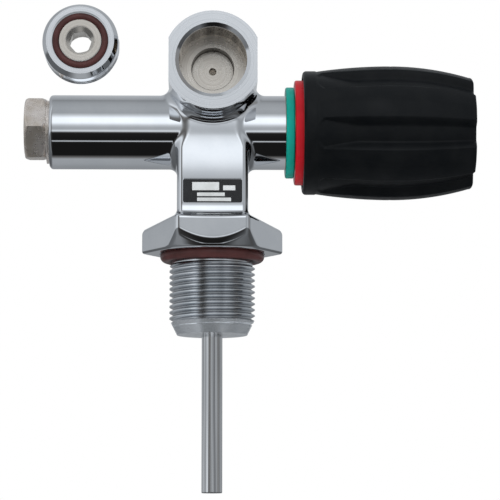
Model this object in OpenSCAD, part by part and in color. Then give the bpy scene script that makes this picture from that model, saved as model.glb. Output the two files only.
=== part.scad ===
// Scuba cylinder valve with a convertible outlet and its loose yoke insert.
// Millimetres. Origin: stem axis at the underside of the hexagonal flange.
// +Z runs up the stem axis, +X towards the knob, -Y out of the outlet's mouth.

/* [Neck stem] */
// Major diameter of the neck thread (3/4-14 NPSM)
neck_thread_d = 26.3; // [26:0.1:26.6]
// Thread pitch, 14 threads per inch
neck_pitch = 1.8143; // [1.8:0.0001:1.82]
// Length of the stem below the flange
stem_length = 25; // [23:0.5:27]
// How far the dip tube reaches below the flange
dip_tube_reach = 73.3; // [45:0.1:90]
// Dip tube outside diameter
dip_tube_d = 6.35; // [6.25:0.05:6.6]

/* [Flange and neck] */
// Hexagonal flange, across the flats
flange_af = 38; // [37:0.5:40]
// Height of the vertical edge at the flange's left and right corners
flange_corner_z = 6.5; // [6:0.1:7]
// Width of the neck block
neck_w = 21.7; // [21:0.1:23]
// Depth of the neck block
neck_d = 25.6; // [24.6:0.1:27]

/* [Crossbar] */
// Height of the crossbar's axis
bar_z = 37.9; // [36:0.1:40]
// Crossbar diameter
bar_d = 22.9; // [22.8:0.1:24]
// Length of the crossbar to the left of the stem axis
bar_left = 50.3; // [46:0.1:60]
// Length of the crossbar to the right of the stem axis
bar_right = 22.4; // [22.4:0.1:23]

/* [Outlet] */
// Height of the outlet's axis
outlet_z = 56.1; // [55:0.1:58]
// Outlet boss diameter
boss_d = 30; // [29:0.5:32]
// Width across the boss's two flats
boss_flats = 26.8; // [26:0.1:28]
// Distance from the stem axis to the outlet's face
boss_front = 25; // [24:0.5:27]
// Distance from the stem axis to the back of the boss
boss_back = 13; // [12.5:0.5:15]
// Minor diameter of the outlet thread (G5/8)
outlet_minor_d = 20.6; // [20.4:0.1:20.7]
// Depth of the threaded socket
socket_depth = 15.3; // [14:0.1:16]

/* [Knob] */
// Knob diameter at its left lip
knob_lip_d = 38.3; // [37:0.1:39]
// Knob diameter at its widest
knob_max_d = 41.5; // [41:0.1:42]
// Knob diameter at its right end
knob_end_d = 34.6; // [33:0.1:36]
// Number of lobes
knob_lobes = 6; // [4:1:8]

/* [Insert] */
// Thread diameter of the yoke insert
insert_d = 22.4; // [22:0.1:22.8]
// Hexagon socket across the flats
insert_hex = 6; // [5:0.5:6]

/* [Hidden] */
$fn = 64;
cut = 0.01; // overshoot of a cutting tool past a face
gap = 0.1; // small working gap
snug = 0.02; // clearance of pieces that sit tight in one another
big = 40; // reaches past the body on every side

brass_plate = [0.80, 0.81, 0.83];
satin_nickel = [0.68, 0.65, 0.60];
raw_brass = [0.75, 0.62, 0.33];
maroon = [0.30, 0.10, 0.11];
black_rubber = [0.08, 0.08, 0.09];
black_plastic = [0.13, 0.13, 0.14];
white_plastic = [0.90, 0.90, 0.87];
steel = [0.62, 0.63, 0.65];

// stem
thread_depth = 1.1;
neck_major_r = neck_thread_d / 2;
neck_minor_r = neck_major_r - thread_depth;
stem_tip_r = 10.8;
stem_chamfer_h = 2.7;
neck_turns = 10;
neck_seal_r = 1.765; // section radius of the 25 x 3.53 ring
neck_seal_z = -0.85;
neck_relief_r = 12.45;
neck_seal_centre_r = neck_relief_r + neck_seal_r + 0.04;
gland_r = 16.2;
inlet_r = 2.3;
dip_socket_depth = 8;
dip_socket_r = 3;
dip_tube_wall = 0.9;

// flange
flange_corner_r = 21.6;
flange_foot_z = 2.6; // top of the rounding along the lower edges
roof_z = 12; // height of the sloping top at the middle of the neck's sides
roof_slope = 24; // fall of the top to the left and right of the neck
roof_draft = 5.5; // fall of the top towards the front and the back
corner_bevel = 50; // steeper slope just above the left and right corners
foot_r = 17.2;
foot_edge = [1.2, 0.9]; // middle of the lower rounding, out from foot_r and up
neck_corner_r = 3;
neck_base_z = 8;

// crossbar bores, all on the crossbar's axis
bar_r = bar_d / 2;
bar_round = 1.3;
plug_bore_r = 8;
plug_bore_depth = 10;
seal_pocket_r = 9.2;
seal_pocket_depth = 1.9;
cross_bore_r = 3.5;
orifice_x = 2.5;
orifice_r = 1.75;
chamber_x = 4.5;
chamber_r = 7;
seat_lip_r = 2.8;
seat_lip_h = 1.2;
bonnet_bore_x = 16;
bonnet_bore_r = 9;
bonnet_pocket_x = 20.8;
bonnet_pocket_r = 10.1;

// outlet
outlet_minor_r = outlet_minor_d / 2;
outlet_major_r = outlet_minor_r + 1.15;
mouth_r = 11.4;
mouth_h = 1.5;
outlet_turns = 6;
recess_r = 6.5;
recess_depth = 4.7;
outlet_hole_r = 0.8;
outlet_countersink_r = 1.4;
passage_r = 1.3;
dimple_r = 4;
dimple_depth = 2.4;
passage_x = 9; // where the slanted outlet passage meets the seat chamber

// label plate
label_w = 18.5;
label_h = 7.6;
label_z = 18;
label_depth = 0.6;

// safety plug, behind the neck
safety_z = 24;
safety_bore_r = 4.6;
safety_bore_depth = 7.8;
safety_af = 12.7;
safety_head_h = 5;
gas_hole_r = 1.2;
vent_r = 1.6;
vent_cross_r = 0.9;
burst_disc_r = 4.4;
burst_gasket_h = 0.8;
burst_disc_h = 0.25;
safety_plug_x = 1.1; // depth of the plug's inner end in its port

// bonnet nut, spindle and seat
nut_bore_r = 4.05;
nut_thread_r = 11.45;
nut_groove_r = 8.5;
nut_wrench_af = 17;
nut_wrench_x = 34;
nut_end_x = 38;
nut_recess_x = 19.2;
nut_recess_r = 6.7;
spindle_r = 4;
spindle_collar_r = 6.5;
collar_x = 16.5;
collar_w = 1.9;
tang_x = 11.7;
tang_w = 2.4;
tang_l = 8.8;
square_x = 41;
square_w = 6.4;
hub_end_x = 58;
spindle_end_x = 70.5;
spindle_groove_x = [24, 28];
spindle_groove_w = 2;
spindle_groove_r = 2.9;
tip_r = 3;
carrier_x = 6.3;
carrier_end_x = 13;
carrier_slot_x = 9;
carrier_r = 6.95;
carrier_face_r = 5;
seat_r = 3.5;
seat_h = 2;
seat_x = chamber_x + seat_lip_h;

// rings
green_r = 14.1;
green_x = [22.5, 25.2];
red_r = 16.25;
red_x = 25.3;
red_w = 3.3;
red_sleeve_r = 13.5;
red_sleeve_end_x = 36;
red_bore_r = 11.55;
key_w = 3;
key_r = 15.4;

// knob
knob_x = 27.8;
knob_end_x = 80.5;
knob_max_x = 55.1;
lip_w = 1.2;
knob_cavity_r = 16.6;
knob_cavity_end_x = 33.2;
sleeve_cavity_r = 13.8;
sleeve_cavity_end_x = 41;
core_x = 28.4;
core_rim_r = 17.5;
core_r = 16.9;
core_neck_r = 15.2;
core_neck_x = 68;
core_end_r = 13.2;
core_end_x = 78.8;
knob_well_r = 7;
spring_h = 5.5;
washer_h = 1;
flute_r = 7;
flute_start_x = 34;
flute_start_r = 19.7;
flute_slope = 4.6;
flute_turn = 9.6; // the first flute faces a little below the outlet's side

// insert at rest, beside the outlet
insert_place = [-39.2, -42.8, 58.2];
insert_bevel = 1.2;
insert_bevel_h = 2.2;
insert_thread_x = 6; // depth where the thread begins, past a smooth collar
insert_thread_end = 11.6;
insert_body_h = 13;
insert_waist_r = 10;
insert_nose_r = 6.3;
rear_groove_r = 5.3;
insert_nose_h = 4.3;
insert_turns = 3;
face_groove_in = 6.12;
face_groove_out = 8.6;
face_groove_h = 2.2;
face_seal_r = 7.23;
face_seal_section = 1.06;
insert_mouth_r = 4.25;
insert_mouth_h = 1.5;
insert_hex_h = 8;
insert_hex_turn = 12;
insert_bore_r = 4.4;

// ---------- shared shapes ----------

// Turns a shape made along +Z to lie along +X
module along_x() rotate([0, 90, 0]) children();

// Turns a shape made along +Z to lie along +Y
module along_y() rotate([-90, 0, 0]) children();

module on_bar_axis() translate([0, 0, bar_z]) along_x() children();

// A turned piece: points are [radius, distance along the axis]
module turned(points) rotate_extrude($fn = 96) polygon(points);

module ring(r_in, r_out, h) difference() {
    cylinder(r = r_out, h = h);
    translate([0, 0, -cut]) cylinder(r = r_in, h = h + 2 * cut);
}

module oring(centre_r, section_r) rotate_extrude($fn = 96)
    translate([centre_r, 0]) circle(section_r, $fn = 32);

module hex_prism(af, h) cylinder(r = af / 2 / cos(30), h = h, $fn = 6);

// Profile points of a row of thread ridges that rise from r_root to r_crest
function ridges(r_root, r_crest, pitch, z0, turns) = [
    for (i = [0 : turns - 1])
        for (p = [[r_root, 0.08], [r_crest, 0.42], [r_crest, 0.58], [r_root, 0.92]])
            [p[0], z0 + (i + p[1]) * pitch]
];

// ---------- valve body ----------

// Everything under a plane that crosses the stem axis at height z, tilted about x and then about y
module under(z, tilt_x, tilt_y) translate([0, 0, z]) rotate([tilt_x, tilt_y, 0])
    translate([-big, -big, -2 * big]) cube(2 * big);

// Forged hexagon. Its top falls away from the neck's sides like a roof and is drafted to the front and back
module flange() intersection() {
    half_af = flange_af / 2;
    ridge_z = roof_z + neck_w / 2 * tan(roof_slope);
    bevel_z = flange_corner_z + flange_corner_r * tan(corner_bevel);
    foot = [
        [foot_r, 0], [foot_r + foot_edge[0], foot_edge[1]], [half_af, flange_foot_z],
        [half_af, roof_z], [0, roof_z], [0, 0]
    ];
    hex_prism(flange_af, roof_z);
    turned([
        [0, 0], [foot_r, 0], [flange_corner_r - foot_edge[0], foot_edge[1]],
        [flange_corner_r, flange_foot_z], [flange_corner_r, roof_z], [0, roof_z]
    ]);
    rotate([90, 0, 90]) linear_extrude(height = 2 * big, center = true) {
        polygon(foot);
        mirror([1, 0]) polygon(foot);
    }
    intersection_for (draft = [-roof_draft, roof_draft], slope = [-roof_slope, roof_slope])
        under(ridge_z, draft, slope);
    intersection_for (draft = [-roof_draft, roof_draft]) under(roof_z, draft, 0);
    intersection_for (bevel = [-corner_bevel, corner_bevel]) under(bevel_z, 0, bevel);
}

module stem() {
    tip = [[0, -stem_length], [stem_tip_r, -stem_length], [neck_minor_r, -stem_length + stem_chamfer_h]];
    first_ridge_z = -stem_length + stem_chamfer_h + 0.1;
    top = [[neck_relief_r, first_ridge_z + neck_turns * neck_pitch + 0.3], [neck_relief_r, 2], [0, 2]];
    turned(concat(tip, ridges(neck_minor_r, neck_major_r, neck_pitch, first_ridge_z, neck_turns), top));
}

module rounded_rectangle(w, d, r) {
    square([w, d - 2 * r], center = true);
    square([w - 2 * r, d], center = true);
    for (x = [-1, 1], y = [-1, 1])
        translate([x * (w / 2 - r), y * (d / 2 - r)]) circle(r);
}

module neck_block() translate([0, 0, neck_base_z])
    linear_extrude(height = bar_z - neck_base_z) rounded_rectangle(neck_w, neck_d, neck_corner_r);

module crossbar() on_bar_axis() rotate_extrude($fn = 96) {
    translate([0, -bar_left + bar_round]) square([bar_r, bar_left + bar_right - bar_round]);
    translate([0, -bar_left]) square([bar_r - bar_round, bar_round + cut]);
    translate([bar_r - bar_round, -bar_left + bar_round]) circle(bar_round);
}

module boss() intersection() {
    translate([0, -boss_front, outlet_z]) along_y() cylinder(d = boss_d, h = boss_front + boss_back);
    translate([-boss_flats / 2, -boss_front - 1, outlet_z - boss_d])
        cube([boss_flats, boss_front + boss_back + 2, 2 * boss_d]);
}

// The threaded socket, its recess and the hole at its centre, as one turned cutter
module socket_cutter() translate([0, -boss_front, outlet_z]) along_y() {
    ridge_start = mouth_h + 0.4;
    turned(concat(
        [[0, -1], [mouth_r + 0.01, -1], [mouth_r, 0], [outlet_minor_r, mouth_h]],
        ridges(outlet_minor_r, outlet_major_r, neck_pitch, ridge_start, outlet_turns),
        [
            [outlet_minor_r, socket_depth], [recess_r, socket_depth],
            [recess_r, socket_depth + recess_depth], [outlet_countersink_r, socket_depth + recess_depth],
            [outlet_hole_r, socket_depth + recess_depth + 0.6], [outlet_hole_r, boss_front + 1],
            [0, boss_front + 1]
        ]
    ));
}

module crossbar_bores() on_bar_axis() {
    translate([0, 0, -bar_left - 1]) cylinder(r = plug_bore_r, h = plug_bore_depth + 1);
    translate([0, 0, -bar_left - 1]) cylinder(r = seal_pocket_r, h = seal_pocket_depth + 1);
    translate([0, 0, -bar_left]) cylinder(r = cross_bore_r, h = bar_left + orifice_x);
    cylinder(r = orifice_r, h = chamber_x + 1);
    difference() {
        translate([0, 0, chamber_x]) cylinder(r = chamber_r, h = bonnet_bore_x - chamber_x + cut);
        translate([0, 0, chamber_x - cut]) ring(orifice_r, seat_lip_r, seat_lip_h + cut);
    }
    translate([0, 0, bonnet_bore_x]) cylinder(r = bonnet_bore_r, h = bar_right);
    translate([0, 0, bonnet_pocket_x]) cylinder(r = bonnet_pocket_r, h = bar_right);
}

// Slanted drilling from the seat chamber up to the outlet's centre hole
module outlet_passage() {
    rise = outlet_z - bar_z;
    translate([0, 0, outlet_z]) rotate([0, 180 - atan2(passage_x, rise), 0])
        cylinder(r = passage_r, h = norm([passage_x, rise]));
}

module inlet_bores() {
    translate([0, 0, -stem_length - 1]) cylinder(r = inlet_r, h = stem_length + bar_z + 1);
    translate([0, 0, -stem_length - 1]) cylinder(r = dip_socket_r, h = dip_socket_depth + 1);
}

module valve_body() color(brass_plate) difference() {
    union() {
        flange();
        stem();
        neck_block();
        crossbar();
        boss();
    }
    // seal gland under the flange
    translate([0, 0, -cut]) ring(neck_relief_r, gland_r, neck_seal_r + neck_seal_z + 0.05 + cut);
    socket_cutter();
    crossbar_bores();
    outlet_passage();
    inlet_bores();
    // dimple for a yoke's screw
    translate([0, boss_back - dimple_depth, outlet_z]) along_y()
        cylinder(r1 = 0.6, r2 = dimple_r, h = dimple_depth + cut);
    // safety plug's port
    translate([0, neck_d / 2 - safety_bore_depth, safety_z]) along_y()
        cylinder(r = safety_bore_r, h = safety_bore_depth + 1);
    translate([0, 0, safety_z]) along_y() cylinder(r = gas_hole_r, h = neck_d / 2);
    // pocket of the label plate
    translate([-label_w / 2, -neck_d / 2 - 1, label_z - label_h / 2])
        cube([label_w, 1 + label_depth, label_h]);
}

module neck_oring() color(maroon) translate([0, 0, neck_seal_z]) oring(neck_seal_centre_r, neck_seal_r);

module dip_tube() color(steel) translate([0, 0, -dip_tube_reach]) {
    shoulder_h = dip_tube_reach - stem_length;
    r = dip_tube_d / 2;
    bore_r = r - dip_tube_wall;
    turned([
        [bore_r, 0], [r - 0.4, 0], [r, 0.4], [r, shoulder_h], [dip_socket_r, shoulder_h],
        [dip_socket_r, shoulder_h + dip_socket_depth], [bore_r, shoulder_h + dip_socket_depth]
    ]);
}

module label_plate() color("black") translate([-label_w / 2, -neck_d / 2, label_z - label_h / 2])
    cube([label_w, label_depth, label_h]);

// ---------- side plug ----------

module side_plug() color(satin_nickel) {
    shank_r = plug_bore_r - gap;
    shank_h = plug_bore_depth - 1;
    groove_r = 7.4;
    collar_r = 9.75;
    collar_h = 0.8;
    head_af = 18.2;
    head_h = 6.8;
    head_rise = 0.9; // the head sits a little above the crossbar's axis
    head_turn = 34;
    head_face_r = 8.7;
    head_corner_r = 10.6;
    head_bevel_h = 1.1;
    difference() {
        union() {
            translate([-bar_left, 0, bar_z]) along_x() turned([
                [0, -collar_h], [collar_r, -collar_h], [collar_r, 0], [groove_r, 0],
                [groove_r, seal_pocket_depth], [shank_r, seal_pocket_depth],
                [shank_r, shank_h - 1], [shank_r - 1, shank_h], [0, shank_h]
            ]);
            translate([-bar_left - collar_h - head_h, 0, bar_z + head_rise]) along_x()
                intersection() {
                    rotate(180 + head_turn) hex_prism(head_af, head_h + cut);
                    turned([
                        [0, 0], [head_face_r, 0], [head_corner_r, head_bevel_h],
                        [head_corner_r, head_h - head_bevel_h], [head_face_r + 0.3, head_h + cut],
                        [0, head_h + cut]
                    ]);
                }
        }
        // drilled out from inside
        translate([-bar_left + 1, 0, bar_z]) along_x() cylinder(r = cross_bore_r, h = shank_h);
    }
}

module side_plug_oring() color(maroon)
    translate([-bar_left + seal_pocket_depth / 2 + snug, 0, bar_z]) along_x() oring(8.3, 0.84);

// ---------- safety plug ----------

module on_safety_axis(depth) translate([0, neck_d / 2 - safety_bore_depth + depth, safety_z]) along_y()
    children();

module burst_gasket() color(raw_brass) on_safety_axis(0) ring(2.4, burst_disc_r, burst_gasket_h);

module burst_disc() color([0.72, 0.45, 0.28]) on_safety_axis(burst_gasket_h + snug)
    cylinder(r = burst_disc_r, h = burst_disc_h);

module safety_plug() color(satin_nickel) on_safety_axis(safety_plug_x) difference() {
    shank_h = safety_bore_depth - safety_plug_x;
    head_corner_r = 7.2;
    union() {
        cylinder(r = safety_bore_r - gap, h = shank_h + cut);
        translate([0, 0, shank_h]) intersection() {
            hex_prism(safety_af, safety_head_h);
            turned([
                [0, 0], [head_corner_r, 0], [head_corner_r, safety_head_h - 0.9],
                [5.8, safety_head_h], [0, safety_head_h]
            ]);
        }
    }
    // blind vent bore and the cross holes that turn the jet sideways
    translate([0, 0, -cut]) cylinder(r = vent_r, h = shank_h + safety_head_h - 1.2);
    for (a = [30 : 60 : 150]) translate([0, 0, shank_h + 2.2]) rotate([90, 0, a])
        cylinder(r = vent_cross_r, h = 20, center = true);
}

// ---------- bonnet ----------

module bonnet_nut() color(raw_brass) difference() {
    on_bar_axis() union() {
        turned([
            [0, bonnet_bore_x + 0.2], [bonnet_bore_r - gap, bonnet_bore_x + 0.2],
            [bonnet_bore_r - gap, bonnet_pocket_x - gap], [nut_groove_r, bonnet_pocket_x - gap],
            [nut_groove_r, bar_right + gap / 2], [nut_thread_r, bar_right + gap / 2],
            [nut_thread_r, nut_wrench_x], [0, nut_wrench_x]
        ]);
        translate([0, 0, nut_wrench_x - cut]) hex_prism(nut_wrench_af, nut_end_x - nut_wrench_x);
    }
    on_bar_axis() {
        cylinder(r = nut_bore_r, h = nut_end_x + 1);
        cylinder(r = nut_recess_r, h = nut_recess_x);
    }
}

module bonnet_oring() color(maroon)
    translate([(bonnet_pocket_x + bar_right) / 2, 0, bar_z]) along_x() oring(9.3, 0.76);

module thrust_washer() color(white_plastic) translate([collar_x + collar_w + 0.05, 0, bar_z]) along_x()
    ring(nut_bore_r + gap, nut_recess_r - gap, nut_recess_x - collar_x - collar_w - gap);

module green_ring() color([0.0, 0.55, 0.42]) on_bar_axis() rotate_extrude($fn = 96)
    polygon([
        [nut_thread_r + snug, green_x[0]], [green_r - 0.3, green_x[0]], [green_r, green_x[0] + 0.3],
        [green_r, green_x[1]], [nut_thread_r + snug, green_x[1]]
    ]);

// ---------- spindle ----------

module spindle() color(steel) difference() {
    on_bar_axis() union() {
        translate([0, 0, collar_x]) cylinder(r = spindle_collar_r, h = collar_w);
        translate([0, 0, collar_x]) cylinder(r = spindle_r, h = square_x - collar_x);
        translate([0, 0, hub_end_x - cut]) cylinder(r = tip_r, h = spindle_end_x - hub_end_x);
        intersection() {
            translate([0, 0, (square_x + hub_end_x) / 2])
                cube([square_w, square_w, hub_end_x - square_x + 2 * cut], center = true);
            translate([0, 0, square_x - 1]) cylinder(r = spindle_r, h = hub_end_x - square_x + 2);
        }
        // flat tang that turns the seat carrier
        translate([-tang_w / 2, -tang_l / 2, tang_x]) cube([tang_w, tang_l, collar_x - tang_x + cut]);
    }
    on_bar_axis() for (x = spindle_groove_x)
        translate([0, 0, x]) ring(spindle_groove_r, spindle_r + 1, spindle_groove_w);
}

module spindle_orings() color(black_rubber) on_bar_axis() for (x = spindle_groove_x)
    translate([0, 0, x + spindle_groove_w / 2]) oring(spindle_groove_r + 0.57, 0.55);

module seat_carrier() color(raw_brass) on_bar_axis() difference() {
    translate([0, 0, carrier_x]) turned([
        [0, 0], [carrier_face_r, 0], [carrier_face_r + 1.1, 1], [carrier_r, 1],
        [carrier_r, carrier_end_x - carrier_x],
        [0, carrier_end_x - carrier_x]
    ]);
    translate([0, 0, seat_x - 1]) cylinder(r = seat_r, h = seat_h + 1);
    translate([-tang_w / 2 - gap, -tang_l / 2 - 0.4, carrier_slot_x])
        cube([tang_w + 2 * gap, tang_l + 0.8, carrier_end_x]);
}

module seat_disc() color(white_plastic) on_bar_axis() translate([0, 0, seat_x + snug])
    cylinder(r = seat_r - snug, h = seat_h - 2 * snug);

// ---------- indicator ----------

module red_ring() color([0.78, 0.12, 0.17]) {
    on_bar_axis() turned([
        [red_bore_r, red_x], [red_r - 0.6, red_x], [red_r, red_x + 0.6], [red_r, red_x + red_w],
        [red_sleeve_r, red_x + red_w], [red_sleeve_r, red_sleeve_end_x], [red_bore_r, red_sleeve_end_x]
    ]);
    // keys that the knob turns
    for (a = [0, 180]) translate([red_x + red_w - cut, 0, bar_z]) rotate([a, 0, 0])
        translate([0, -key_w / 2, red_sleeve_r - 0.5])
            cube([red_sleeve_end_x - red_x - red_w, key_w, key_r - red_sleeve_r + 0.5]);
}

// ---------- knob ----------

module knob_core() color(black_plastic) difference() {
    on_bar_axis() turned([
        [0, core_x], [core_rim_r, core_x], [core_rim_r, knob_cavity_end_x],
        [core_r, knob_cavity_end_x + 1], [core_r, knob_max_x], [core_neck_r, core_neck_x],
        [core_end_r, core_end_x], [0, core_end_x]
    ]);
    on_bar_axis() {
        translate([0, 0, knob_x - 1]) cylinder(r = knob_cavity_r, h = knob_cavity_end_x - knob_x + 1);
        translate([0, 0, knob_x - 1]) cylinder(r = sleeve_cavity_r, h = sleeve_cavity_end_x - knob_x + 1);
        translate([0, 0, knob_x]) cube([square_w + gap, square_w + gap, 200], center = true);
        translate([0, 0, hub_end_x]) cylinder(r = knob_well_r, h = core_end_x - hub_end_x + 1);
    }
    // keyways of the red ring
    translate([knob_x, -key_w / 2 - 0.2, bar_z - key_r - 0.3])
        cube([sleeve_cavity_end_x - knob_x, key_w + 0.4, 2 * key_r + 0.6]);
}

// Barrel without its flutes: two arcs that meet at the widest point, and a rounded lip at each end
module barrel() on_bar_axis() rotate_extrude($fn = 96) {
    lip_r = knob_lip_d / 2;
    max_r = knob_max_d / 2;
    end_r = knob_end_d / 2;
    left_bulge = arc_radius(knob_max_x - knob_x - 4, max_r - lip_r + 0.2);
    right_bulge = arc_radius(knob_end_x - lip_w - knob_max_x, max_r - end_r);
    // left part, from the lip to the widest point
    intersection() {
        translate([max_r - left_bulge, knob_max_x]) circle(left_bulge, $fn = 360);
        translate([0, knob_x + 3]) square([max_r + 1, knob_max_x - knob_x - 3]);
    }
    translate([0, knob_x + lip_w]) square([lip_r, 3.5 - lip_w]);
    translate([0, knob_x]) square([lip_r - lip_w, lip_w + cut]);
    translate([lip_r - lip_w, knob_x + lip_w]) circle(lip_w);
    // right part, from the widest point to the end lip
    intersection() {
        translate([max_r - right_bulge, knob_max_x]) circle(right_bulge, $fn = 360);
        translate([0, knob_max_x - cut]) square([max_r + 1, knob_end_x - lip_w - knob_max_x + cut]);
    }
    translate([0, knob_end_x - lip_w - cut]) square([end_r - lip_w, lip_w + cut]);
    translate([end_r - lip_w, knob_end_x - lip_w]) circle(lip_w - cut);
}

// Radius of an arc that drops by h over a half chord c
function arc_radius(c, h) = (c * c + h * h) / (2 * h);

// One finger flute: a round groove that fades out towards the lip
module flute(a) translate([0, 0, bar_z]) rotate([a, 0, 0])
    translate([flute_start_x, 0, flute_start_r + flute_r]) rotate([0, flute_slope, 0]) along_x()
        cylinder(r = flute_r, h = 60);

module knob_grip() color(black_rubber) difference() {
    barrel();
    for (i = [0 : knob_lobes - 1]) flute(90 + flute_turn + i * 360 / knob_lobes);
    on_bar_axis() {
        turned([
            [0, core_x], [core_rim_r + snug, core_x], [core_rim_r + snug, knob_cavity_end_x],
            [core_r + snug, knob_cavity_end_x + 1], [core_r + snug, knob_max_x], [core_neck_r + snug, core_neck_x],
            [core_end_r + snug, core_end_x], [0, core_end_x]
        ]);
        cylinder(r = knob_cavity_r + 0.3, h = 40);
        translate([0, 0, core_end_x - 1]) cylinder(r = knob_well_r + 1, h = 5);
    }
}

// Helical spring, swept as a tube with an eight-sided section
module coil_spring(coil_r, wire_r, h, turns) {
    sides = 8;
    steps = 16 * turns;
    function point(i, j) =
        let (a = 360 * i * turns / steps, b = 360 * j / sides)
        [
            (coil_r + wire_r * cos(b)) * cos(a),
            (coil_r + wire_r * cos(b)) * sin(a),
            wire_r + (h - 2 * wire_r) * i / steps + wire_r * sin(b)
        ];
    points = [for (i = [0 : steps], j = [0 : sides - 1]) point(i, j)];
    walls = [
        for (i = [0 : steps - 1], j = [0 : sides - 1])
            [
                i * sides + j, i * sides + (j + 1) % sides,
                (i + 1) * sides + (j + 1) % sides, (i + 1) * sides + j
            ]
    ];
    start = [for (j = [0 : sides - 1]) sides - 1 - j];
    end = [for (j = [0 : sides - 1]) steps * sides + j];
    polyhedron(points, concat([start], walls, [end]));
}

module knob_spring() color(steel) translate([hub_end_x + 0.05, 0, bar_z]) along_x()
    coil_spring(4.6, 0.5, spring_h, 4);

module knob_washer() color(steel) translate([hub_end_x + spring_h + 0.15, 0, bar_z]) along_x()
    ring(tip_r + 0.05, 6.4, washer_h);

module knob_nut() color(steel) translate([hub_end_x + spring_h + washer_h + 0.2, 0, bar_z]) along_x()
    difference() {
        intersection() {
            hex_prism(10, 5);
            turned([[0, 0], [5.8, 0], [5.8, 4.2], [4.8, 5], [0, 5]]);
        }
        translate([0, 0, -cut]) cylinder(r = tip_r + 0.02, h = 6);
    }

// ---------- yoke insert ----------

module at_insert() translate(insert_place) along_y() children();

module yoke_insert() color(brass_plate) at_insert() difference() {
    r = insert_d / 2;
    turned(concat(
        [[0, 0], [r - insert_bevel, 0], [r, insert_bevel_h], [r, insert_thread_x - 0.2]],
        ridges(insert_waist_r + 0.1, r, neck_pitch, insert_thread_x, insert_turns),
        [
            [insert_waist_r, insert_thread_end], [insert_waist_r, insert_body_h],
            [insert_nose_r, insert_body_h], [insert_nose_r, insert_body_h + 1],
            [rear_groove_r, insert_body_h + 1], [rear_groove_r, insert_body_h + 3],
            [insert_nose_r, insert_body_h + 3], [insert_nose_r, insert_body_h + 4],
            [insert_nose_r - 0.3, insert_body_h + insert_nose_h], [0, insert_body_h + insert_nose_h]
        ]
    ));
    translate([0, 0, -cut]) ring(face_groove_in, face_groove_out, face_groove_h + cut);
    translate([0, 0, -cut]) cylinder(r = insert_mouth_r, h = insert_mouth_h);
    rotate(insert_hex_turn) hex_prism(insert_hex, insert_hex_h + cut);
    translate([0, 0, insert_hex_h]) cylinder(r = insert_bore_r, h = 20);
}

module insert_face_oring() color(maroon) at_insert()
    translate([0, 0, face_groove_h / 2]) oring(face_seal_r, face_seal_section);

module insert_rear_oring() color(maroon) at_insert()
    translate([0, 0, insert_body_h + 2]) oring(rear_groove_r + 0.7, 0.68);

valve_body();
neck_oring();
dip_tube();
label_plate();
side_plug();
side_plug_oring();
safety_plug();
burst_disc();
burst_gasket();
bonnet_nut();
bonnet_oring();
thrust_washer();
green_ring();
spindle();
spindle_orings();
knob_core();
knob_grip();
knob_spring();
knob_washer();
knob_nut();
seat_carrier();
seat_disc();
red_ring();
yoke_insert();
insert_face_oring();
insert_rear_oring();
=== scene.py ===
import bmesh
import bpy
import math
import numpy as np
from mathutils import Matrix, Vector


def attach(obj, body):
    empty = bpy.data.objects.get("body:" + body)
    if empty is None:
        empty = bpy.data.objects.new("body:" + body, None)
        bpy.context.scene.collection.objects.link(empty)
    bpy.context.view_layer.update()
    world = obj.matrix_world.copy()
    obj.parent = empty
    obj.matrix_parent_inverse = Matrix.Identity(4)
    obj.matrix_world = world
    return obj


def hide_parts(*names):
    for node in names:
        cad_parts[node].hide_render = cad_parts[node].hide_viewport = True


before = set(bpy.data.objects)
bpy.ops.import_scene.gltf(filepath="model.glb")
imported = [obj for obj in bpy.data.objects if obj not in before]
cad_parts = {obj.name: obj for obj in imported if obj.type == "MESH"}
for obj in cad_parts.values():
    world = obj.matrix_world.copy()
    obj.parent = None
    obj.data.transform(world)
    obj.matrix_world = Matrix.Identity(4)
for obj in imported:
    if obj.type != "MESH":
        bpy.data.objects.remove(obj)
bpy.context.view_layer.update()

# Sizes in millimetres, in the row frame: +Z up the stem, +X towards the knob, -Y out of the outlet.
# PLUG_ANGLE, KEY_ANGLE, FLUTE_AT, FLUTE_HALF and FLUTE_WALL are angles in degrees.
MM = 0.001
PITCH = 1.8143
BAR_Z, BAR_R, BAR_LEFT, BAR_RIGHT = 37.9, 11.45, -50.3, 22.4
NECK_HALF_W, NECK_HALF_D, NECK_CORNER, NECK_LOW = 10.85, 12.8, 1.9, 7.0
FLARE_TOP, FLARE_LENGTH = 14.0, 15.0
LEAN, LEAN_START = 0.95, 22.0
SOFTEN, SOFTEN_START = 2.6, 31.0
FRONT_RISE, BACK_RISE = 8.0, 3.1
BAR_EDGE, BOSS_EDGE = 1.3, 1.0
FLANGE_FILLET, BAR_FILLET, BAR_FILLET_GAIN, BOSS_FILLET = 1.4, 0.8, 1.6, 2.8
OUTLET_Z, BOSS_R, BOSS_FLAT, BOSS_FRONT, BOSS_BACK = 56.1, 15.0, 13.4, -25.0, 13.0
MOUTH_R, SOCKET_R, SOCKET_LINER_R, SOCKET_DEPTH, LINER_START = 11.4, 10.3, 11.8, 15.3, 1.9
SOCKET_ROOT, SOCKET_LAND, SOCKET_THREAD_END, LINER_GAP = 11.2, 0.5, 13.2, 0.02
RECESS_R, RECESS_DEPTH, GAS_HOLE_R, GAS_HOLE_DEPTH = 6.5, 4.7, 0.55, 4.0
DIMPLE_R, DIMPLE_FLOOR = 0.6, 35.6
FLANGE_HALF_AF, FLANGE_CORNER = 19.0, 2.2
ROOF_Z, ROOF_FALL, ROOF_DRAFT, ROOF_DIP = 12.0, 0.445, 0.105, 0.35
BEVEL_R, BEVEL_SQUEEZE, BEVEL_FALL = 18.0, 0.8, 0.55
SEAL_GROOVE_IN, SEAL_GROOVE_OUT, SEAL_GROOVE_Z = 12.0, 16.2, 0.965
SAFETY_Z, SAFETY_BORE_R, SAFETY_BORE_Y = 24.0, 4.6, 5.0
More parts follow.
